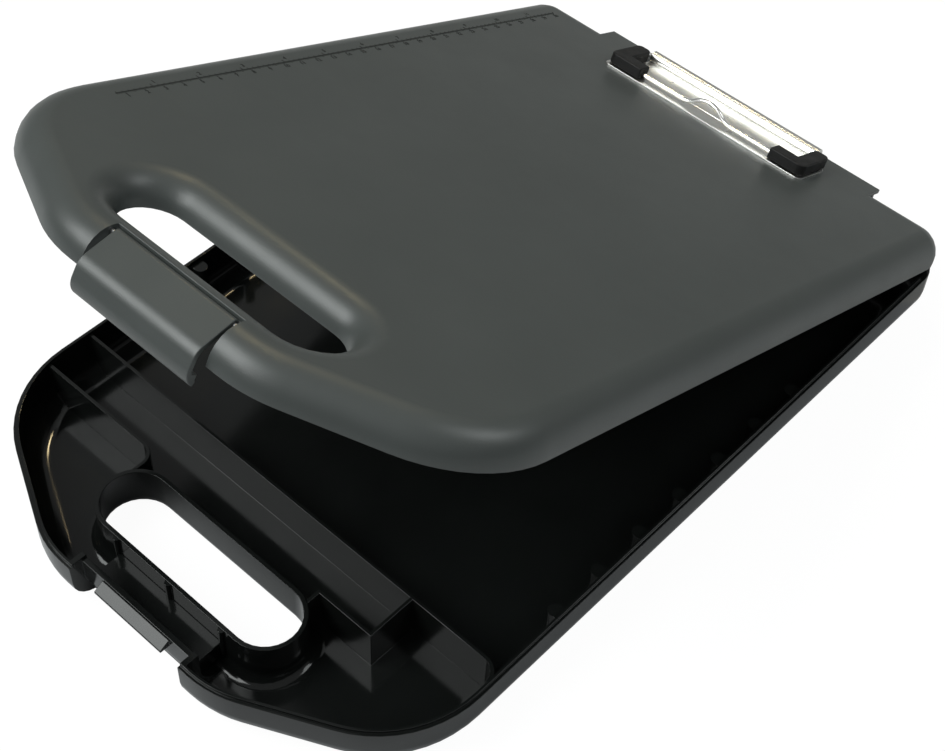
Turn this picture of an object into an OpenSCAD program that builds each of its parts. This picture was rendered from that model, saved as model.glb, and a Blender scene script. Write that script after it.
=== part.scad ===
// Storage clipboard box: a shallow tray for paper and pens under a hinged lid that
// is also the writing board. A handle hole runs through both, a latch on the handle
// bar holds the lid shut, and a sprung wire clip sits at the lid's hinge end.
// X runs across the board, -Y is the handle end, +Y the hinge end, Z is up.
// The origin is the middle of the tray's underside. Closed sizes are given, and the
// lid, latch and clip are then turned to the angles in the Pose section.

/* [Body] */
// Width across the straight sides
body_w = 253; // [240:1:280]
// Length from the back wall to the front of the handle
body_l = 394; // [388:1:430]
// Height of the tray from its underside to its rim
tray_h = 24.6; // [23:0.2:32]
// Wall thickness of the tray
tray_t = 2.6; // [2.2:0.1:3.2]
// Thickness of the tray's floor
floor_t = 2.3; // [1.6:0.1:3]
// Radius of the tray's lower edge
foot_r = 13.4; // [11:0.2:13.6]
// Height of the lid from its lower edge to its flat top
lid_h = 14.7; // [14:0.1:18]
// Thickness of the lid
lid_t = 2; // [1.6:0.1:2.4]
// Radius of the lid's rounded edge
dome_r = 12.3; // [9:0.1:12.4]
// Gap between the lid's lower edge and the tray's rim
rim_gap = 0.3; // [0.2:0.05:0.6]

/* [Outline] */
// Corner radius at the hinge end
back_r = 14; // [13.8:0.1:20]
// How far each slanted shoulder reaches back from the front
shoulder_l = 38; // [30:1:50]
// Radius between the side and the slanted shoulder
shoulder_r = 55; // [40:1:60]
// Width between the shoulders' inner ends
front_w = 100; // [96:1:110]
// Radius between the slanted shoulder and the front
front_r = 52; // [40:1:54]
// How far the lid's back edge stays inside the tray's
lid_back_inset = 1.9; // [1.5:0.1:3]

/* [Rim] */
// Width of the flat ledge outside the raised lip
ledge_w = 1.4; // [1.2:0.1:1.6]
// Height of the raised lip above the ledge
lip_h = 1.4; // [0.8:0.1:2]

/* [Handle] */
// Length of the handle hole, across the board
hole_w = 109; // [96:1:112]
// Width of the handle hole, along the board
hole_l = 29.8; // [26:0.2:32]
// Thickness of the handle bar in front of the hole
bar_w = 25.6; // [25.2:0.2:28]
// Wall thickness of the ring round the hole in the tray
ring_t = 2; // [1.6:0.1:2.4]
// Radius of the ring's lower edge
ring_foot_r = 8; // [6:0.5:9]
// Number of small posts in front of the ring
ring_posts = 3; // [2:1:4]
// Spacing of the ring's posts
ring_post_pitch = 31.7; // [20:0.1:34]

/* [Compartments] */
// Length of the paper space behind the divider
paper_l = 304; // [300:1:306]
// Width of the pen space
pen_l = 23.8; // [20:0.2:26]
// Distance of the cross wall from the middle
cross_x = 75; // [66:1:90]
// Thickness of the dividers
rib_t = 1.6; // [1.2:0.1:2.2]
// How far the dividers' tops stay below the rim
rib_drop = 0.2; // [0:0.1:2]
// Outer radius of the divider's turned right end
end_turn_r = 9; // [6:0.5:12]
// Outer radius of the pen wall's turned left end
pen_turn_r = 8; // [5:0.5:10]
// Radius of the small posts on the side walls
post_r = 3.2; // [2.5:0.1:4]
// Number of posts on each side wall
post_count = 7; // [3:1:9]
// Spacing of the posts
post_pitch = 26.6; // [20:0.1:32]
// Distance from the divider to the first post
post_start = 35; // [20:1:50]
// How far the posts' tops stay below the rim
post_drop = 0.8; // [0:0.1:4]

/* [Hinge] */
// Length of the row of knuckles
hinge_w = 157; // [140:1:170]
// Outer radius of the knuckles
knuckle_r = 4.2; // [3.8:0.1:4.6]
// Radius of the steel rod
rod_r = 1.6; // [1.2:0.1:2]
// How far the rod's axis lies behind the back wall
hinge_back = 1.4; // [1.2:0.1:1.8]
// How far the rod's axis lies below the rim
hinge_drop = 0.3; // [0.2:0.1:0.6]
// Number of knuckles, the odd ones on the tray
knuckles = 5; // [3:2:9]
// Gap between neighbouring knuckles
knuckle_gap = 0.5; // [0.3:0.1:1]
// Radial play of a pin in a bore that turns on it
pin_play = 0.07; // [0.03:0.01:0.09]
// Gap between the row of knuckles and each end of its recess
bay_side = 2.5; // [1:0.1:4]
// How far the lid's top runs past the tray's back wall over the knuckles
tab_over = 1; // [0.5:0.1:1.2]

/* [Latch] */
// Width of the latch
latch_w = 60.4; // [50:0.2:62]
// Thickness of the latch
latch_t = 2.2; // [1.8:0.1:2.6]
// Gap between the latch and each end of the bar
latch_gap = 2; // [0.5:0.1:3]
// How far the tray's front wall is set back behind the latch
notch_d = 6.4; // [5.5:0.1:7]
// Radius of the latch's pin
latch_pin_r = 1; // [0.8:0.1:1.2]
// Radius of the latch's knuckle
latch_knuckle_r = 2.2; // [2:0.1:2.4]
// Distance from the handle hole to the latch's pin
latch_pin_back = 13.9; // [13.5:0.1:15]
// How far the latch's pin lies below the lid's top
latch_pin_drop = 2.7; // [2.4:0.1:3.2]
// Drop from the latch's pin to the middle of its shoulder's curve
latch_shoulder = 12.7; // [12:0.1:14]
// Radius of the latch's shoulder and lower curl
latch_r = 7.6; // [7:0.1:8]
// How far the latch stands in front of the bar when shut
latch_proud = 2.1; // [1.6:0.1:3]
// Height of the catch's underside above the tray's underside
catch_z = 18.8; // [17:0.1:19.2]
// Height of the catch
catch_h = 3.4; // [2.5:0.1:4]
// How far the hook reaches behind the catch
catch_grip = 1.8; // [1:0.1:2]

/* [Clip] */
// Width of the clip's base plate
clip_w = 119; // [110:1:130]
// Distance from the hinge wall to the clip's front edge
clip_front = 41; // [38:0.5:46]
// Distance from the hinge wall to the clip's wire axis
clip_axis_back = 8.9; // [8:0.1:10]
// Radius of the clip plate's corners
clip_corner_r = 3; // [1:0.5:5]
// Thickness of the clip's sheet metal
sheet_t = 0.8; // [0.6:0.1:1]
// Outer radius of the curl that holds the wire
curl_r = 3.1; // [2.6:0.1:3.4]
// Radius of the spring wire
wire_r = 1.15; // [0.9:0.05:1.3]
// Bend radius of the wire's corners
wire_bend_r = 3.2; // [2.6:0.1:4]
// Height of the finger bow in the middle of the wire
bow_h = 5; // [3:0.5:7]
// Length of the finger bow
bow_w = 30; // [24:1:40]
// Width of each rubber cap
cap_w = 8.2; // [7:0.2:9]
// Height of each rubber cap
cap_h = 5.6; // [5:0.1:6]
// Length of the cap along the front
cap_front_l = 19.5; // [16:0.5:24]
// Radius of the rivets' shanks
rivet_r = 1.5; // [1.2:0.1:1.8]
// Gap between the caps and the plate they press on
clip_gap = 0.3; // [0.2:0.05:0.5]

/* [Pose] */
// How far the lid stands open
lid_open = 22.9; // [0:0.1:180]
// How far the latch stands open
latch_open = 12; // [0:1:90]

/* [Hidden] */
$fn = 96;
round_steps = 6;
hole_steps = 14;

half_w = body_w / 2;
half_l = body_l / 2;
slant = atan2((body_w - front_w) / 2, shoulder_l);

hole_r = hole_l / 2;
hole_y = -half_l + bar_w + hole_r;
hole_x = hole_w / 2 - hole_r;
pen_turn_x = hole_x + hole_r + 5.5;
pen_right_x = hole_x + hole_r / 2 - 1;

divider_y = half_l - tray_t - paper_l;
pen_wall_y = divider_y - pen_l - rib_t;
rib_top = tray_h - rib_drop;
post_x = half_w - tray_t - post_r;

lid_z = tray_h + rim_gap;
lid_top = lid_z + lid_h;
lid_back = half_l - lid_back_inset;

hinge_y = half_l + hinge_back;
hinge_z = tray_h - hinge_drop;
knuckle_w = (hinge_w - (knuckles - 1) * knuckle_gap) / knuckles;
knuckle_cut = 0.4;
arm_r = knuckle_r - 0.4;
bay_w = hinge_w + 2 * bay_side;
bay_y = hinge_y - knuckle_r - 2 * rim_gap;

latch_bay_w = latch_w + 2 * latch_gap;
notch_w = latch_bay_w + 0.6;
notch_y = -half_l + notch_d;
latch_pin_y = -half_l + bar_w - latch_pin_back;
latch_pin_z = lid_top - latch_pin_drop;
latch_bay_y = latch_pin_y + latch_knuckle_r + 0.4;
bar_end_in = 0.4;
latch_face_y = -half_l - latch_proud;
latch_curl_y = latch_face_y + latch_r;
latch_upper_z = latch_pin_z - latch_shoulder;
latch_lower_z = catch_z + 1.8;
hook_top = catch_z - 0.4;
catch_tip = latch_face_y + latch_t + 1.5;
hook_face = catch_tip + catch_grip;

clip_axis_y = half_l - clip_axis_back;
clip_axis_z = lid_top + curl_r;
clip_y0 = half_l - clip_front;
plate_top = lid_top + sheet_t;
cap_z = plate_top + clip_gap;
cap_x = clip_w / 2 - 0.8;
leg_x = cap_x - cap_w / 2;
bar_y = clip_y0 + 1.2 + cap_w / 2;
cap_back = clip_axis_y - 4.2;
curl_x = leg_x - wire_bend_r - 0.2;
tail_x = 24;
rivet_y = (bar_y + cap_back) / 2 + 2;
rivet_head_r = 2.6;
rivet_head_h = 0.8;
wire_play = 0.06;

// A corner is [its point, the normal's angle before it, the angle after it, its
// radius, its number of steps].
function corners(back_y) = [
    [[half_w, back_y], 0, 90, back_r, 8],
    [[-half_w, back_y], 90, 180, back_r, 8],
    [[-half_w, shoulder_l - half_l], 180, 180 + slant, shoulder_r, 10],
    [[-front_w / 2, -half_l], 180 + slant, 270, front_r, 5],
    [[front_w / 2, -half_l], 270, 360 - slant, front_r, 5],
    [[half_w, shoulder_l - half_l], 360 - slant, 360, shoulder_r, 10]
];
function dir(a) = [cos(a), sin(a)];
function centre(c) = c[0] - c[3] * (dir(c[1]) + dir(c[2])) / (1 + dir(c[1]) * dir(c[2]));

// The outline's points, moved inwards by an inset.
function outline(back_y, inset) = [
    for (c = corners(back_y), i = [0:c[4]])
        centre(c) + (c[3] - inset) * dir(c[1] + (c[2] - c[1]) * i / c[4])
];

// The handle hole's points, moved outwards by a margin.
function hole_outline(margin) = [
    for (s = [1, -1], i = [0:hole_steps])
        [s * hole_x, hole_y] + (hole_r + margin) * dir((s > 0 ? -90 : 90) + 180 * i / hole_steps)
];

// A quarter-round edge as [inset, height] pairs, from the flat face to the upright.
function round_edge(r) = [
    for (i = [0:round_steps]) r * [1 - sin(90 * i / round_steps), 1 - cos(90 * i / round_steps)]
];

// A closed body through rings of equal length, given as 3D points from one end up.
module skin(rings) {
    n = len(rings[0]);
    polyhedron(
        points = [for (ring = rings) each ring],
        faces = [
            [for (i = [0:n - 1]) i],
            for (k = [0:len(rings) - 2], i = [0:n - 1]) each [
                [k * n + i, (k + 1) * n + (i + 1) % n, k * n + (i + 1) % n],
                [k * n + i, (k + 1) * n + i, (k + 1) * n + (i + 1) % n]
            ],
            [for (i = [n - 1:-1:0]) (len(rings) - 1) * n + i]
        ]
    );
}

function at_height(points, z) = [for (p = points) [p.x, p.y, z]];

// The outline as a body with a rounded lower edge, from z0 up to z1.
module bowl(inset, r, z0, z1) {
    skin([
        for (e = round_edge(r)) at_height(outline(half_l, inset + e[0]), z0 + e[1]),
        at_height(outline(half_l, inset), z1)
    ]);
}

// The lid's outline as a body with a rounded upper edge, from z0 up to z1.
module dome(inset, r, z0, z1) {
    edge = round_edge(r);
    skin([
        at_height(outline(lid_back, inset), z0),
        for (i = [round_steps:-1:0]) at_height(outline(lid_back, inset + edge[i][0]), z1 - edge[i][1])
    ]);
}

// The handle hole and a wall of some thickness round it: wider at the bottom in
// the tray, and at the top in the lid.
module tray_hole(wall, z0) {
    edge = round_edge(ring_foot_r - wall);
    skin([
        at_height(hole_outline(ring_foot_r), -1),
        for (e = edge) at_height(hole_outline(wall + e[0]), z0 + e[1]),
        at_height(hole_outline(wall), tray_h + (wall > 0 ? 0 : 1))
    ]);
}

module lid_hole(wall, z1) {
    edge = round_edge(dome_r - wall);
    skin([
        at_height(hole_outline(wall), lid_z - (wall > 0 ? 0 : 1)),
        for (i = [round_steps:-1:0]) at_height(hole_outline(wall + edge[i][0]), z1 - edge[i][1]),
        at_height(hole_outline(dome_r), lid_top + 1)
    ]);
}

// What the front wall gives up to the latch: a bay as wide as the latch and its gaps.
module notch(extra) {
    translate([-notch_w / 2 - extra, -half_l - 1, -1])
        cube([notch_w + 2 * extra, foot_r + 1 + notch_d, tray_h + lip_h + 2]);
}

module tray_walls() {
    high = tray_h + lip_h;
    difference() {
        bowl(0, foot_r, 0, high);
        difference() {
            bowl(tray_t, foot_r - tray_t, floor_t, high + 1);
            tray_hole(ring_t, floor_t);
            difference() {
                notch(tray_t);
                translate([0, notch_d, 0]) bowl(tray_t, foot_r - tray_t, floor_t, high + 1);
            }
        }
        tray_hole(0, 0);
        difference() {
            notch(0);
            translate([0, notch_d, 0]) bowl(0, foot_r, 0, tray_h);
        }
        // ledge outside the lip, and no lip along the hinge
        translate([0, 0, tray_h]) linear_extrude(2 * lip_h) difference() {
            polygon(outline(half_l + 1, -1));
            polygon(outline(half_l, ledge_w));
        }
        translate([-half_w, half_l - back_r - lid_back_inset - rim_gap, tray_h])
            cube([body_w, 2 * back_r, 2 * lip_h]);
    }
}

module dividers() {
    z0 = floor_t / 2;
    h = rib_top - z0;
    turn_x = half_w - tray_t + 0.6 - end_turn_r;
    // divider behind the pens, with its end turned into the side wall
    translate([-half_w, divider_y - rib_t, z0]) cube([half_w + turn_x, rib_t, h]);
    translate([turn_x, divider_y - end_turn_r, z0])
        rotate_extrude(angle = 90) translate([end_turn_r - rib_t, 0]) square([rib_t, h]);
    // wall in front of the pens, turned down to the ring at its left end
    translate([-half_w, pen_wall_y, z0]) cube([half_w - pen_turn_x, rib_t, h]);
    translate([-pen_turn_x, pen_wall_y + rib_t - pen_turn_r, z0])
        rotate_extrude(angle = 90) translate([pen_turn_r - rib_t, 0]) square([rib_t, h]);
    translate([pen_turn_r - rib_t - pen_turn_x, hole_y, z0])
        cube([rib_t, pen_wall_y + rib_t - pen_turn_r - hole_y, h]);
    // its right part, from the ring to the cross wall
    translate([pen_right_x, pen_wall_y, z0]) cube([cross_x - pen_right_x, rib_t, h]);
    translate([pen_right_x, hole_y, z0]) cube([rib_t, pen_wall_y + rib_t - hole_y, h]);
    // cross wall
    translate([cross_x, pen_wall_y, z0]) cube([rib_t, divider_y - pen_wall_y, h]);
}

module posts() {
    h = tray_h - post_drop;
    for (s = [-1, 1], i = [0:post_count - 1])
        translate([s * post_x, divider_y + post_start + i * post_pitch, floor_t / 2]) {
            cylinder(r = post_r, h = h - floor_t / 2);
            translate([s > 0 ? 0 : -post_r - 1, -post_r, 0])
                cube([post_r + 1, 2 * post_r, h - floor_t / 2]);
        }
    for (i = [0:ring_posts - 1])
        translate([(i - (ring_posts - 1) / 2) * ring_post_pitch, hole_y - hole_r - ring_t, floor_t])
            cylinder(r = 1.6, h = tray_h - floor_t - post_drop);
}

// One knuckle's span along X.
module knuckle_span(i) {
    translate([-hinge_w / 2 + i * (knuckle_w + knuckle_gap), 0, 0]) children();
}

module tray_knuckles() {
    for (i = [0:2:knuckles - 1]) knuckle_span(i) rotate([90, 0, 90]) linear_extrude(knuckle_w) {
        translate([hinge_y, hinge_z]) circle(knuckle_r);
        polygon([
            [half_l - 1, hinge_z],
            [half_l - 1, hinge_z - 3 * knuckle_r],
            [half_l, hinge_z - 3 * knuckle_r],
            [hinge_y + arm_r * cos(20), hinge_z - arm_r * sin(20)],
            [hinge_y, hinge_z]
        ]);
    }
}

module rod_bore(extra) {
    translate([-hinge_w, hinge_y, hinge_z]) rotate([0, 90, 0])
        cylinder(r = rod_r + extra, h = 2 * hinge_w);
}

// The step on the front wall that the latch's hook goes under.
module catch_step() {
    translate([-latch_w / 3, 0, 0]) rotate([90, 0, 90]) linear_extrude(2 * latch_w / 3)
        polygon([
            [notch_y + 1, catch_z],
            [catch_tip, catch_z],
            [catch_tip, catch_z + 1.2],
            [notch_y + 1, catch_z + catch_h + 1]
        ]);
}

module base_tray() {
    color([0.03, 0.03, 0.035]) difference() {
        union() {
            tray_walls();
            intersection() {
                bowl(tray_t / 2, foot_r - tray_t / 2, floor_t / 2, tray_h);
                difference() {
                    union() {
                        dividers();
                        posts();
                    }
                    tray_hole(ring_t / 2, floor_t / 2);
                }
            }
            tray_knuckles();
            catch_step();
        }
        rod_bore(pin_play);
        for (i = [1:2:knuckles - 1])
            knuckle_span(i) translate([-knuckle_gap, hinge_y, hinge_z]) rotate([0, 90, 0])
                cylinder(r = knuckle_r + knuckle_cut, h = knuckle_w + 2 * knuckle_gap);
    }
}

// Turns a piece of the shut box with the lid.
module with_lid() {
    translate([0, hinge_y, hinge_z]) rotate([-lid_open, 0, 0])
        translate([0, -hinge_y, -hinge_z]) children();
}

// Turns a piece with the latch on the lid.
module with_latch() {
    with_lid() translate([0, latch_pin_y, latch_pin_z]) rotate([-latch_open, 0, 0])
        translate([0, -latch_pin_y, -latch_pin_z]) children();
}

// The section of the handle bar's front half, just inside its skin.
module bar_end_2d() {
    depth = latch_bay_y + half_l + bar_end_in;
    difference() {
        union() {
            translate([dome_r, lid_h - dome_r]) circle(dome_r - bar_end_in);
            translate([bar_end_in, 0]) square([depth - bar_end_in, lid_h - dome_r]);
            translate([dome_r, 0]) square([depth - dome_r, lid_h - bar_end_in]);
        }
        translate([depth, -lid_h]) square(3 * lid_h);
        translate([-1, -dome_r]) square([depth + 2, dome_r + lip_h]);
    }
}

// The closed ends of the handle bar on both sides of the latch.
module bar_ends() {
    for (s = [0, 1]) mirror([s, 0, 0])
        translate([latch_bay_w / 2, -half_l, lid_z]) rotate([90, 0, 90]) linear_extrude(lid_t)
            bar_end_2d();
}

// The lid's top over the knuckles, and the wall that closes the box inside them.
module hinge_bay() {
    translate([-bay_w / 2 - lid_t, bay_y - 3 * lid_t, lid_top - lid_t])
        cube([bay_w + 2 * lid_t, half_l + tab_over - bay_y + 3 * lid_t, lid_t]);
    translate([-bay_w / 2 - lid_t, bay_y - lid_t, lid_z])
        cube([bay_w + 2 * lid_t, lid_t, lid_h - lid_t / 2]);
    for (i = [1:2:knuckles - 2]) knuckle_span(i) rotate([90, 0, 90]) linear_extrude(knuckle_w) {
        translate([hinge_y, hinge_z]) circle(knuckle_r);
        polygon([
            [bay_y - 1, lid_z],
            [hinge_y, lid_z],
            [hinge_y + arm_r * cos(75), hinge_z + arm_r * sin(75)],
            [bay_y, lid_top - lid_t],
            [bay_y - 1, lid_top - lid_t]
        ]);
    }
}

module lid_body() {
    difference() {
        dome(0, dome_r, lid_z, lid_top);
        difference() {
            dome(lid_t, dome_r - lid_t, lid_z - 1, lid_top - lid_t);
            lid_hole(lid_t, lid_top - lid_t);
        }
        lid_hole(0, lid_top);
        // rebate that takes the tray's lip
        translate([0, 0, lid_z - 1]) linear_extrude(1 + lip_h)
            polygon(outline(lid_back, ledge_w - rim_gap));
    }
}

module lid_shell() {
    color([0.28, 0.29, 0.29]) with_lid() difference() {
        union() {
            difference() {
                lid_body();
                translate([-bay_w / 2, bay_y, lid_z - 1]) cube([bay_w, 3 * dome_r, lid_h + 2]);
                translate([-latch_bay_w / 2, latch_bay_y - 3 * dome_r, lid_z - 1])
                    cube([latch_bay_w, 3 * dome_r, lid_h + 2]);
            }
            bar_ends();
            hinge_bay();
        }
        rod_bore(pin_play);
        latch_bore();
        rivet_bores();
    }
}

module latch_bore() {
    reach = latch_bay_w / 2 + lid_t + 1;
    translate([-reach, latch_pin_y, latch_pin_z]) rotate([0, 90, 0])
        cylinder(r = latch_pin_r + pin_play, h = 2 * reach);
}

module hinge_rod() {
    color([0.75, 0.75, 0.77]) translate([-hinge_w / 2, hinge_y, hinge_z]) rotate([0, 90, 0])
        cylinder(r = rod_r, h = hinge_w);
}

// A band of thickness t along a circle's inside, between two angles.
module arc_band(r, t, a0, a1) {
    intersection() {
        difference() {
            circle(r);
            circle(r - t);
        }
        polygon([[0, 0], for (i = [0:4]) 1.5 * r * dir(a0 + (a1 - a0) * i / 4)]);
    }
}

// The latch's section, from its knuckle over the shoulder to its curled lower end.
module latch_2d() {
    pin = [latch_pin_y, latch_pin_z];
    upper = [latch_curl_y, latch_upper_z];
    lower = [latch_curl_y, latch_lower_z];
    span = upper - pin;
    k = latch_knuckle_r;
    lean = atan2(-span.y, -span.x) + acos((latch_r - k) / norm(span));
    n = dir(lean);
    curl_end = 180 + acos((latch_curl_y - hook_face) / latch_r);
    translate(pin) circle(k);
    polygon([
        pin + k * n,
        upper + latch_r * n,
        upper + (latch_r - latch_t / 2) * dir(lean + 8),
        upper + (latch_r - latch_t) * n,
        pin + (k - latch_t) * n
    ]);
    translate(upper) arc_band(latch_r, latch_t, lean, 180);
    translate([latch_face_y, latch_lower_z]) square([latch_t, latch_upper_z - latch_lower_z]);
    translate(lower) arc_band(latch_r, latch_t, 180, curl_end);
    // hook
    intersection() {
        translate(lower) circle(latch_r - latch_t / 2);
        translate([latch_face_y, latch_lower_z - latch_r])
            square([hook_face - latch_face_y, hook_top - latch_lower_z + latch_r]);
    }
}

module latch_cover() {
    color([0.28, 0.29, 0.29]) with_latch() difference() {
        translate([-latch_w / 2, 0, 0]) rotate([90, 0, 90]) linear_extrude(latch_w) latch_2d();
        latch_bore();
    }
}

module latch_pin() {
    reach = latch_bay_w / 2 + lid_t;
    color([0.75, 0.75, 0.77]) with_lid()
        translate([-reach, latch_pin_y, latch_pin_z]) rotate([0, 90, 0])
            cylinder(r = latch_pin_r, h = 2 * reach);
}

module rivet_bores() {
    for (s = [-1, 1]) translate([s * leg_x, rivet_y, lid_z])
        cylinder(r = rivet_r + wire_play, h = 2 * lid_h);
}

module clip_base_plate() {
    color([0.8, 0.8, 0.82]) with_lid() difference() {
        union() {
            translate([-clip_w / 2, clip_y0, lid_top]) linear_extrude(sheet_t) {
                c = clip_corner_r;
                l = clip_front - clip_axis_back - 2 * curl_r;
                translate([c, 0]) square([clip_w - 2 * c, l]);
                translate([0, c]) square([clip_w, l - 2 * c]);
                for (x = [c, clip_w - c], y = [c, l - c]) translate([x, y]) circle(c);
                translate([clip_w / 2 - curl_x, 0]) square([2 * curl_x, clip_front - clip_axis_back]);
            }
            translate([-curl_x, clip_axis_y, clip_axis_z]) rotate([0, 90, 0])
                cylinder(r = curl_r, h = 2 * curl_x);
        }
        translate([-clip_w, clip_axis_y, clip_axis_z]) rotate([0, 90, 0])
            cylinder(r = wire_r + wire_play, h = 2 * clip_w);
        rivet_bores();
    }
}

// A quarter bend of wire that turns from +X at its centre's far side to +Y.
module wire_bend(r, bend, a) {
    rotate_extrude(angle = a) translate([bend, 0]) circle(r);
}

// One side of the clip's wire, from the bow to the tail in the curl. The same
// shape, a little thicker, is the bore in the rubber cap.
module half_wire(r, bow) {
    a = 2 * atan(2 * bow_h / bow_w);
    bow_r = bow_w / (4 * sin(a));
    b = wire_bend_r;
    rotate([0, 90, 0]) {
        translate([0, bar_y, bow_w / 2]) cylinder(r = r, h = leg_x - b - bow_w / 2);
        translate([0, clip_axis_y, tail_x]) cylinder(r = r, h = leg_x - b - tail_x);
    }
    translate([leg_x, clip_axis_y - b, 0]) rotate([90, 0, 0])
        cylinder(r = r, h = clip_axis_y - bar_y - 2 * b);
    translate([leg_x - b, clip_axis_y - b, 0]) wire_bend(r, b, 90);
    translate([leg_x - b, bar_y + b, 0]) rotate(-90) wire_bend(r, b, 90);
    if (bow) translate([0, bar_y, 0]) rotate([90, 0, 0]) {
        translate([bow_w / 2, bow_r, 0]) rotate(-90 - a) wire_bend(r, bow_r, a);
        translate([0, bow_h - bow_r, 0]) rotate(90 - a) wire_bend(r, bow_r, a);
    }
}

module clip_wire() {
    color([0.8, 0.8, 0.82]) with_lid() translate([0, 0, clip_axis_z])
        for (s = [0, 1]) mirror([s, 0, 0]) half_wire(wire_r, true);
}

module clip_cap() {
    difference() {
        translate([0, 0, cap_z]) linear_extrude(cap_h) {
            translate([leg_x - cap_w / 2, bar_y]) square([cap_w, cap_back - bar_y - 3]);
            translate([leg_x - cap_w / 2 + 3, cap_back - 4]) square([cap_w - 6, 4]);
            for (s = [-1, 1])
                translate([leg_x + s * (cap_w / 2 - 3), cap_back - 3]) circle(3);
            translate([cap_x - cap_front_l, bar_y - cap_w / 2])
                square([cap_front_l - cap_w / 2, cap_w]);
            translate([leg_x, bar_y]) circle(cap_w / 2);
        }
        translate([0, 0, clip_axis_z]) half_wire(wire_r + wire_play, false);
        translate([leg_x, rivet_y, cap_z - 1]) cylinder(r = rivet_head_r + 1, h = rivet_head_h + 1.3);
    }
}

module clip_cap_left() {
    color([0.12, 0.12, 0.12]) with_lid() mirror([1, 0, 0]) clip_cap();
}

module clip_cap_right() {
    color([0.12, 0.12, 0.12]) with_lid() clip_cap();
}

module clip_rivets() {
    color([0.8, 0.8, 0.82]) with_lid() for (s = [-1, 1])
        translate([s * leg_x, rivet_y, 0]) {
            translate([0, 0, lid_top - lid_t - rivet_head_h])
                cylinder(r = rivet_r, h = lid_t + sheet_t + 1.5 * rivet_head_h);
            translate([0, 0, plate_top]) cylinder(r = rivet_head_r, h = rivet_head_h);
            translate([0, 0, lid_top - lid_t - rivet_head_h]) cylinder(r = rivet_head_r, h = rivet_head_h);
        }
}

base_tray();
lid_shell();
hinge_rod();
latch_cover();
latch_pin();
clip_base_plate();
clip_wire();
clip_cap_left();
clip_cap_right();
clip_rivets();
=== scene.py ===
# %% [markdown]
# # A storage clipboard box
# The object is a shallow tray of glossy black plastic under a hinged lid of matte
# charcoal plastic, which is also the writing board. A latch holds the lid shut on the
# handle bar, and a sprung wire clip with two rubber caps holds the paper.
# This lesson dresses the measured solids: it rounds their edges, gives each finish its
# own material, and adds the small things that are too fine for the solids.

# %% Load the solids
import bpy
from math import radians, sin, cos
from mathutils import Matrix, Vector


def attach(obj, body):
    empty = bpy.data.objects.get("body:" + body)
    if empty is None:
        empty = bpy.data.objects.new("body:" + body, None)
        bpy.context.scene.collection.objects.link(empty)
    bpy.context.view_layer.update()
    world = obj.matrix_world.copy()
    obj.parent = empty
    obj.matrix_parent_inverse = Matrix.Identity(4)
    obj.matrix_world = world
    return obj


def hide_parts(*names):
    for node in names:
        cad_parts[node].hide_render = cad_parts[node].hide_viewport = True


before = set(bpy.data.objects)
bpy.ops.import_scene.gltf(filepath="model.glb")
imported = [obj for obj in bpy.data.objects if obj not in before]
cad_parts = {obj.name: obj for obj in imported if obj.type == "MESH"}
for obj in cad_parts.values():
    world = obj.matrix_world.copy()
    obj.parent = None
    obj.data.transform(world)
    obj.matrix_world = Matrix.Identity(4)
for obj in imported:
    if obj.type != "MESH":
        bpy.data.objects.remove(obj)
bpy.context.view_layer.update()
scene = bpy.context.scene
print("solids:", sorted(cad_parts))

# %% [markdown]
# ## Where the lid stands
# The lid is drawn open. Everything on it is easier to place on the shut lid, where its
# top is level, so one matrix turns a finished piece from there about the hinge.

# %% The lid's turn
MM = 0.001
LID_OPEN = radians(22.9)
HINGE = Vector((0, 198.4, 24.3)) * MM
LID_TOP = 39.6 * MM
lid_turn = (Matrix.Translation(HINGE) @ Matrix.Rotation(-LID_OPEN, 4, "X")
            @ Matrix.Translation(-HINGE))
print("lid's front edge at", (lid_turn @ Vector((0, -0.197, LID_TOP))).to_tuple(3))

# %% [markdown]
# ## The camera
# A long lens from the right of the handle end keeps the board's sides nearly parallel.
# The camera is built from its viewing direction, so its roll is exact.

# %% The camera
AZIMUTH, ELEVATION, ROLL = radians(40.449), radians(50.244), radians(3.012)
DISTANCE = 0.8263
SENSOR, FRAME_W, FRAME_H = 36, 945, 751
FOCAL_PX, CENTRE_X, CENTRE_Y = 1797.0, 472.03, 379.10
look_at = Vector((0.00245, 0.00527, 0))
forward = Vector((-sin(AZIMUTH) * cos(ELEVATION), cos(AZIMUTH) * cos(ELEVATION), -sin(ELEVATION)))
side = Vector((cos(AZIMUTH), sin(AZIMUTH), 0))
up = side.cross(forward)
right = side * cos(ROLL) + up * sin(ROLL)
up = up * cos(ROLL) - side * sin(ROLL)
bpy.ops.object.camera_add()
camera = bpy.context.object
camera.name = "view_camera"
camera.data.sensor_width = SENSOR
camera.data.lens = FOCAL_PX * SENSOR / FRAME_W
camera.data.shift_x = (FRAME_W / 2 - CENTRE_X) / FRAME_W
camera.data.shift_y = (CENTRE_Y - FRAME_H / 2) / FRAME_W
camera.data.clip_start = 0.01
pose = Matrix((right, up, -forward)).transposed().to_4x4()
pose.translation = look_at - DISTANCE * forward
camera.matrix_world = pose
scene.camera = camera
print("camera at", camera.matrix_world.translation.to_tuple(3))

# %% [markdown]
# ## Helpers
# An operator works on everything that is selected, so each piece is selected alone
# first. `finished_copy` takes a solid's loose triangles, welds them, dissolves the flat
# ones into whole faces, rolls its sharp edges over with a bevel, and lets the big flat
# faces set the shading, so that long thin faces don't show.

# %% Selecting and finishing
def only(piece):
    """Selects one piece and makes it active."""
    if bpy.context.mode != "OBJECT":
        bpy.ops.object.mode_set(mode="OBJECT")
    bpy.ops.object.select_all(action="DESELECT")
    piece.select_set(True)
    bpy.context.view_layer.objects.active = piece


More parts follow.
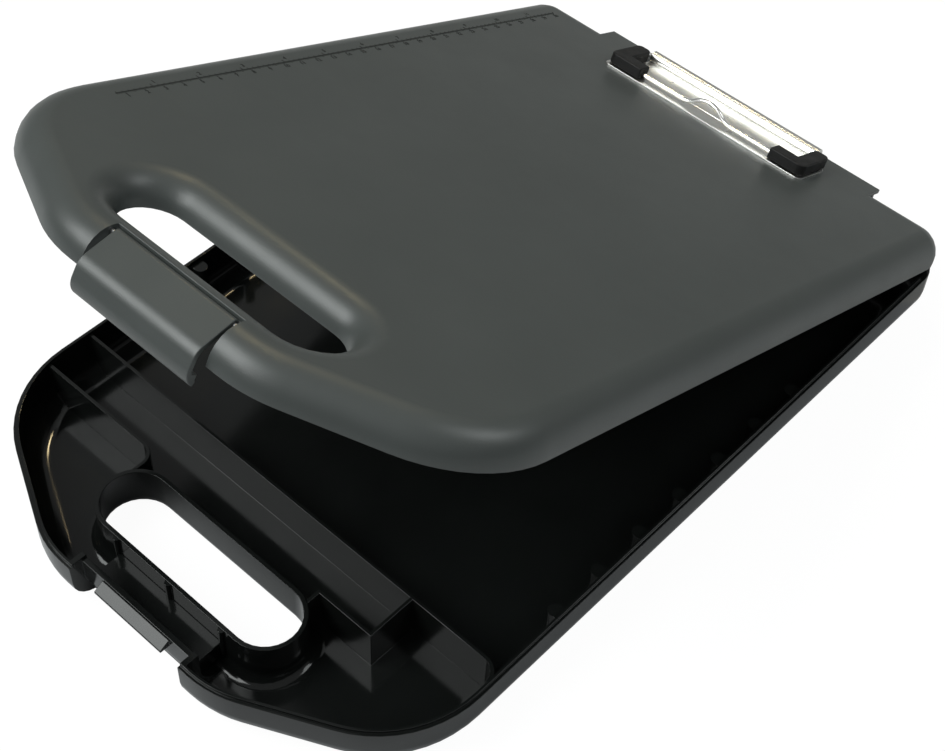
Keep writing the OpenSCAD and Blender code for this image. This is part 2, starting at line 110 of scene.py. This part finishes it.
def apply_modifier(piece, kind, **settings):
    """Adds a modifier, sets it up and applies it."""
    only(piece)
    modifier = piece.modifiers.new(kind.title(), kind)
    for key, value in settings.items():
        setattr(modifier, key, value)
    bpy.ops.object.modifier_apply(modifier=modifier.name)


def smooth(piece, angle=32):
    """Smooth shading up to an angle, led by the large faces."""
    only(piece)
    bpy.ops.object.shade_smooth_by_angle(angle=radians(angle))
    apply_modifier(piece, "WEIGHTED_NORMAL", keep_sharp=True, weight=50)


def finished_copy(node, name, edge=0.0, steps=2, angle=32):
    """A welded, softened copy of a solid, which stands for it."""
    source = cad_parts[node]
    piece = bpy.data.objects.new(name, source.data.copy())
    scene.collection.objects.link(piece)
    only(piece)
    bpy.ops.object.mode_set(mode="EDIT")
    bpy.ops.mesh.select_all(action="SELECT")
    bpy.ops.mesh.remove_doubles(threshold=0.000002)
    bpy.ops.mesh.dissolve_limited(angle_limit=radians(0.3))
    bpy.ops.object.mode_set(mode="OBJECT")
    if edge:
        apply_modifier(piece, "BEVEL", width=edge * MM, segments=steps, limit_method="ANGLE",
                       angle_limit=radians(angle + 4), use_clamp_overlap=False)
    smooth(piece, angle)
    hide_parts(node)
    print(name, len(piece.data.polygons), "faces")
    return piece


def place(piece, body, material):
    """Gives a piece its material and its body."""
    piece.data.materials.clear()
    piece.data.materials.append(material)
    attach(piece, body)
    return piece


# %% [markdown]
# ## Shared effects
# Three effects come back in several finishes, so each is a node group: a fine moulded
# grain, a slow unevenness that blurs the gloss in patches, and specks of dust. They
# give out only masks and heights, and each material decides what to do with them.

# %% Node group helper
def group(name, inputs, output):
    """An empty node group with number inputs and one number output."""
    tree = bpy.data.node_groups.new(name, "ShaderNodeTree")
    for label, value in inputs.items():
        socket = tree.interface.new_socket(label, in_out="INPUT", socket_type="NodeSocketFloat")
        socket.default_value = value
    tree.interface.new_socket(output, in_out="OUTPUT", socket_type="NodeSocketFloat")
    start = tree.nodes.new("NodeGroupInput")
    end = tree.nodes.new("NodeGroupOutput")
    coords = tree.nodes.new("ShaderNodeTexCoord")
    return tree, start, end, coords


def link(tree, *pairs):
    for source, target in pairs:
        tree.links.new(source, target)


# %% Moulded grain
grain_group, g_in, g_out, g_at = group("moulded_grain", {"Scale": 1600.0, "Depth": 1.0}, "Height")
cells = grain_group.nodes.new("ShaderNodeTexVoronoi")
cells.feature = "SMOOTH_F1"
haze = grain_group.nodes.new("ShaderNodeTexNoise")
haze.inputs["Detail"].default_value = 3
mixed = grain_group.nodes.new("ShaderNodeMath")
mixed.operation = "ADD"
deep = grain_group.nodes.new("ShaderNodeMath")
deep.operation = "MULTIPLY"
link(grain_group,
     (g_at.outputs["Object"], cells.inputs["Vector"]),
     (g_at.outputs["Object"], haze.inputs["Vector"]),
     (g_in.outputs["Scale"], cells.inputs["Scale"]), (g_in.outputs["Scale"], haze.inputs["Scale"]),
     (cells.outputs["Distance"], mixed.inputs[0]), (haze.outputs["Fac"], mixed.inputs[1]),
     (mixed.outputs[0], deep.inputs[0]), (g_in.outputs["Depth"], deep.inputs[1]),
     (deep.outputs[0], g_out.inputs["Height"]))

# %% Slow unevenness
patch_group, p_in, p_out, p_at = group("soft_patches", {"Scale": 14.0, "Low": 0.0, "High": 1.0},
                                       "Value")
cloud = patch_group.nodes.new("ShaderNodeTexNoise")
cloud.inputs["Detail"].default_value = 4
cloud.inputs["Roughness"].default_value = 0.55
span = patch_group.nodes.new("ShaderNodeMapRange")
span.inputs["From Min"].default_value = 0.3
span.inputs["From Max"].default_value = 0.7
link(patch_group,
     (p_at.outputs["Object"], cloud.inputs["Vector"]),
     (p_in.outputs["Scale"], cloud.inputs["Scale"]),
     (cloud.outputs["Fac"], span.inputs["Value"]), (p_in.outputs["Low"], span.inputs["To Min"]),
     (p_in.outputs["High"], span.inputs["To Max"]),
     (span.outputs["Result"], p_out.inputs["Value"]))

# %% Dust
dust_group, d_in, d_out, d_at = group("dust_specks", {"Scale": 900.0, "Amount": 0.04}, "Mask")
spots = dust_group.nodes.new("ShaderNodeTexVoronoi")
rare = dust_group.nodes.new("ShaderNodeMath")
rare.operation = "LESS_THAN"
link(dust_group,
     (d_at.outputs["Object"], spots.inputs["Vector"]),
     (d_in.outputs["Scale"], spots.inputs["Scale"]),
     (spots.outputs["Distance"], rare.inputs[0]), (d_in.outputs["Amount"], rare.inputs[1]),
     (rare.outputs[0], d_out.inputs["Mask"]))
print("groups:", [g.name for g in bpy.data.node_groups])

# %% [markdown]
# ## Materials
# Each finish starts from one Principled shader. The helper wires the groups that every
# finish needs: two near colours mixed in soft patches, a roughness that wanders between
# two values, and a grain that bumps the surface.

# %% A finish
def finish(name, dark, light, rough, grain, depth, patches=14.0, **shader):
    """A material with patchy colour, wandering roughness and a moulded grain.

    dark, light: the two colours. rough: lowest and highest roughness. grain: its scale.
    depth: the bump in millimetres. patches: scale of the slow unevenness.
    """
    material = bpy.data.materials.new(name)
    material.use_nodes = True
    tree = material.node_tree
    principled = tree.nodes["Principled BSDF"]
    for key, value in shader.items():
        principled.inputs[key.replace("_", " ")].default_value = value
    tone = tree.nodes.new("ShaderNodeGroup")
    tone.node_tree = patch_group
    tone.inputs["Scale"].default_value = patches
    colour = tree.nodes.new("ShaderNodeMix")
    colour.data_type = "RGBA"
    colour.inputs["A"].default_value = (*dark, 1)
    colour.inputs["B"].default_value = (*light, 1)
    gloss = tree.nodes.new("ShaderNodeGroup")
    gloss.node_tree = patch_group
    gloss.inputs["Scale"].default_value = patches * 2.3
    gloss.inputs["Low"].default_value, gloss.inputs["High"].default_value = rough
    relief = tree.nodes.new("ShaderNodeGroup")
    relief.node_tree = grain_group
    relief.inputs["Scale"].default_value = grain
    bump = tree.nodes.new("ShaderNodeBump")
    bump.inputs["Distance"].default_value = depth * MM
    link(tree,
         (tone.outputs["Value"], colour.inputs["Factor"]),
         (colour.outputs["Result"], principled.inputs["Base Color"]),
         (gloss.outputs["Value"], principled.inputs["Roughness"]),
         (relief.outputs["Height"], bump.inputs["Height"]),
         (bump.outputs["Normal"], principled.inputs["Normal"]))
    print("finish", name)
    return material


def add_dust(material, amount, colour):
    """Lays pale specks over a finish."""
    tree = material.node_tree
    principled = tree.nodes["Principled BSDF"]
    below = principled.inputs["Base Color"].links[0].from_socket
    specks = tree.nodes.new("ShaderNodeGroup")
    specks.node_tree = dust_group
    specks.inputs["Amount"].default_value = amount
    over = tree.nodes.new("ShaderNodeMix")
    over.data_type = "RGBA"
    over.inputs["B"].default_value = (*colour, 1)
    link(tree, (specks.outputs["Mask"], over.inputs["Factor"]), (below, over.inputs["A"]),
         (over.outputs["Result"], principled.inputs["Base Color"]))


# %% The finishes
charcoal = finish("charcoal_satin", (0.043, 0.049, 0.047), (0.05, 0.0565, 0.0545), (0.36, 0.43),
                  1500, 0.018,
                  Specular_IOR_Level=0.5)
add_dust(charcoal, 0.03, (0.11, 0.114, 0.11))
gloss_black = finish("gloss_black", (0.0045, 0.005, 0.0048), (0.0065, 0.0074, 0.007),
                     (0.09, 0.16), 350, 0.0015, 22,
                     Specular_IOR_Level=0.3)
add_dust(gloss_black, 0.03, (0.1, 0.1, 0.1))
rubber = finish("black_rubber", (0.005, 0.005, 0.005), (0.008, 0.008, 0.0076), (0.48, 0.6), 2600,
                0.02, 60,
                Specular_IOR_Level=0.28)
bright_sheet = finish("bright_sheet", (0.74, 0.735, 0.71), (0.8, 0.795, 0.77), (0.27, 0.34), 500,
                      0.0006, 40, Metallic=1.0)
bright_wire = finish("bright_wire", (0.78, 0.77, 0.75), (0.86, 0.85, 0.83), (0.12, 0.2), 900,
                     0.0008, 60, Metallic=1.0)
drawn_steel = finish("drawn_steel", (0.5, 0.5, 0.51), (0.6, 0.6, 0.61), (0.28, 0.36), 1200,
                     0.006, 60, Metallic=1.0)
# Near-black painted shade for the scale: it stands for the shade inside the sunk grooves of the
# ticks and figures.
groove_shade = finish("groove_shade_paint", (0.006, 0.007, 0.0065), (0.01, 0.011, 0.0105), (0.45, 0.55), 1500,
               0.004,
               Specular_IOR_Level=0.2)

# %% [markdown]
# ## The mouldings
# The tray, the lid and the latch keep the measured shape. Their copies only get the
# small roll that every moulded edge has.

# %% Tray, lid and latch
tray = place(finished_copy("base_tray", "tray_moulding", 0.25), "tray", gloss_black)
lid = place(finished_copy("lid_shell", "lid_moulding", 0.25), "lid", charcoal)
latch = place(finished_copy("latch_cover", "latch_moulding", 0.45, 3), "latch", charcoal)

# %% The clip and the pins
plate = place(finished_copy("clip_base_plate", "clip_sheet", 0.15), "lid",
              bright_sheet)
wire = place(finished_copy("clip_wire", "clip_spring_wire"), "clip", bright_wire)
for side_name in ("left", "right"):
    place(finished_copy("clip_cap_" + side_name, side_name + "_rubber_cap", 0.7, 3), "clip",
          rubber)
place(finished_copy("clip_rivets", "rivet_pair", 0.3, 2), "lid", bright_sheet)
place(finished_copy("hinge_rod", "hinge_pin"), "tray", drawn_steel)
place(finished_copy("latch_pin", "latch_pivot"), "lid", drawn_steel)

# %% [markdown]
# ## The scale along the board
# A fine scale runs along the board's left edge: one long line, centimetres on the
# inside and inches on the outside. Every row of ticks is one small block repeated at
# even steps. The figures read from the right, so each is turned a quarter turn.
# The ticks and figures stand a hair proud of the board, and their near-black colour
# is painted shade for the shade inside the real sunk grooves.

# %% Ticks and figures on the shut lid
SCALE_X, SCALE_ZERO, SCALE_START, SCALE_END = -108.6, -124.7, -119.0, 177.0
MARK_H = 0.06
TOP = 39.6
scale_parts = []


def block(name, low, high, edge=0.0):
    """A block between two corners, in millimetres."""
    bpy.ops.mesh.primitive_cube_add(size=1)
    piece = bpy.context.object
    piece.name = name
    piece.location = [(a + b) / 2 * MM for a, b in zip(low, high)]
    piece.scale = [(b - a) * MM for a, b in zip(low, high)]
    bpy.ops.object.transform_apply(location=True, rotation=True, scale=True)
    if edge:
        apply_modifier(piece, "BEVEL", width=edge * MM, segments=3)
        smooth(piece)
    return piece


def tick_row(step, skip, reach, width=0.2):
    """Ticks at even steps from the line out to a reach, first one after the line's start."""
    first = SCALE_ZERO + step * skip
    count = int((SCALE_END - first) / step) + 1
    ends = sorted((SCALE_X, SCALE_X + reach))
    tick = block("tick", (ends[0], first - width / 2, TOP),
                 (ends[1], first + width / 2, TOP + MARK_H))
    apply_modifier(tick, "ARRAY", count=count, use_relative_offset=False,
                   use_constant_offset=True, constant_offset_displace=(0, step * MM, 0))
    scale_parts.append(tick)
    return count


def figure(number, x, y, size=3.1):
    """One figure as a thin mesh that stands on the lid and reads from the right."""
    bpy.ops.object.text_add(location=(x * MM, y * MM, LID_TOP), rotation=(0, 0, radians(90)))
    text = bpy.context.object
    text.data.body = str(number)
    text.data.size = size * MM
    text.data.extrude = MARK_H * MM
    text.data.offset = 0.06 * MM
    text.data.align_x, text.data.align_y = "CENTER", "CENTER"
    only(text)
    bpy.ops.object.convert(target="MESH")
    bpy.ops.object.transform_apply(location=True, rotation=True, scale=True)
    scale_parts.append(bpy.context.object)


INCH = 25.4
HALF_LINE = 0.22
scale_parts.append(block("scale_line", (SCALE_X - HALF_LINE, SCALE_START, TOP),
                         (SCALE_X + HALF_LINE, SCALE_END, TOP + MARK_H)))
ticks = [tick_row(1, 6, 1.0, 0.34), tick_row(5, 2, 1.4, 0.36), tick_row(10, 1, 1.8, 0.4),
         tick_row(INCH / 8, 2, -0.9, 0.3), tick_row(INCH, 1, -1.9, 0.4)]
for centimetre in range(1, 31):
    figure(centimetre, SCALE_X + 3.1, SCALE_ZERO + 10 * centimetre)
for inch in range(1, 12):
    figure(inch, SCALE_X - 3.0, SCALE_ZERO + INCH * inch + 2.8)
only(scale_parts[0])
for piece in scale_parts:
    piece.select_set(True)
bpy.ops.object.join()
ruler = bpy.context.object
ruler.name = "board_scale"


def onto_lid(piece):
    """Turns a piece made on the shut lid to where the lid stands."""
    only(piece)
    piece.matrix_world = lid_turn @ piece.matrix_world
    bpy.ops.object.transform_apply(location=True, rotation=True, scale=True)
    return piece


# The scale takes the near-black painted shade of its grooves.
place(onto_lid(ruler), "lid", groove_shade)
print("ticks:", ticks, "faces:", len(ruler.data.polygons))

# %% [markdown]
# ## Three small forms
# The clip's sheet has a shallow panel pressed up in its middle. In the channel between
# the tray's ring and its front wall lies a flat shelf, below where the latch reaches.
# A bridge makes the board's top run on level into the tab over the hinge.

# %% Panel, shelf and bridge
panel = block("pressed_panel", (-47.5, 167, 40.3), (47.5, 186, 40.7), 0.3)
place(onto_lid(panel), "lid", bright_sheet)
shelf = block("channel_shelf", (-30.8, -188.6, 4), (30.8, -173.2, 13.4), 0.5)
place(shelf, "tray", gloss_black)
bridge = block("tab_bridge", (-83, 182.4, 37.6), (83, 188.4, 39.58), 0.15)
place(onto_lid(bridge), "lid", charcoal)
print("forms:", panel.name, shelf.name, bridge.name)

# %% [markdown]
# ## Floor and light
# The floor is pale. Seen by the camera it also glows, so the surroundings are white
# while the floor keeps a soft shadow. Reflections see only the lit floor, which keeps
# the undersides of the mouldings dark.

# %% The floor
bpy.ops.mesh.primitive_plane_add(size=8, location=(0, 0, -0.0002))
floor = bpy.context.object
floor.name = "floor"
paper_white = bpy.data.materials.new("pale_floor")
paper_white.use_nodes = True
tree = paper_white.node_tree
matt = tree.nodes["Principled BSDF"]
matt.inputs["Base Color"].default_value = (0.62, 0.63, 0.64, 1)
matt.inputs["Roughness"].default_value = 0.9
matt.inputs["Specular IOR Level"].default_value = 0.0
path = tree.nodes.new("ShaderNodeLightPath")
glow = tree.nodes.new("ShaderNodeEmission")
glow.inputs["Color"].default_value = (1, 1, 1, 1)
glow.inputs["Strength"].default_value = 1.065
blend = tree.nodes.new("ShaderNodeMixShader")
part = tree.nodes.new("ShaderNodeMath")
part.operation = "MULTIPLY"
part.inputs[1].default_value = 0.9
link(tree, (path.outputs["Is Camera Ray"], part.inputs[0]), (part.outputs[0], blend.inputs[0]),
     (matt.outputs[0], blend.inputs[1]), (glow.outputs[0], blend.inputs[2]),
     (blend.outputs[0], tree.nodes["Material Output"].inputs["Surface"]))
floor.data.materials.append(paper_white)

# %% [markdown]
# The surroundings are bright overhead and dim near the horizon, so that rounded edges
# darken toward their undersides.

# %% The world
world = bpy.data.worlds.new("studio")
scene.world = world
world.use_nodes = True
tree = world.node_tree
ambient = tree.nodes["Background"]
ambient.inputs["Color"].default_value = (0.95, 0.97, 0.97, 1)
height = tree.nodes.new("ShaderNodeTexCoord")
split = tree.nodes.new("ShaderNodeSeparateXYZ")
rise = tree.nodes.new("ShaderNodeMapRange")
for label, value in {"From Min": -0.05, "From Max": 0.6, "To Min": 0.05, "To Max": 0.42}.items():
    rise.inputs[label].default_value = value
link(tree, (height.outputs["Generated"], split.inputs[0]),
     (split.outputs["Z"], rise.inputs["Value"]),
     (rise.outputs["Result"], ambient.inputs["Strength"]))
backdrop = tree.nodes.new("ShaderNodeBackground")
backdrop.inputs["Color"].default_value = (1, 1, 1, 1)
path = tree.nodes.new("ShaderNodeLightPath")
choose = tree.nodes.new("ShaderNodeMixShader")
link(tree, (path.outputs["Is Camera Ray"], choose.inputs[0]),
     (ambient.outputs[0], choose.inputs[1]),
     (backdrop.outputs[0], choose.inputs[2]),
     (choose.outputs[0], tree.nodes["World Output"].inputs["Surface"]))


# %% The lamps
def softbox(name, position, target, size, power, colour=(1, 1, 1)):
    """A square area lamp that faces a point."""
    bpy.ops.object.light_add(type="AREA", location=position)
    lamp = bpy.context.object
    lamp.name = name
    lamp.data.size = size
    lamp.data.energy = power
    lamp.data.color = colour
    aim = Vector(target) - Vector(position)
    lamp.rotation_euler = aim.to_track_quat("-Z", "Y").to_euler()
    return lamp


softbox("key_softbox", (-0.72, -0.92, 1.36), (0, 0, 0.1), 1.0, 23, (0.96, 1, 0.99))
softbox("fill_softbox", (1.1, 0.9, 1.5), (0, 0, 0.1), 0.8, 9, (0.95, 1, 1))
softbox("front_softbox", (-0.2, -1.2, 1.0), (0, -0.17, 0.17), 0.3, 1.4)
softbox("warm_strip", (-0.6, 0.65, 1.25), (0, -0.12, 0.17), 0.12, 2.2, (1, 0.8, 0.45))
scene.view_settings.view_transform = "Standard"
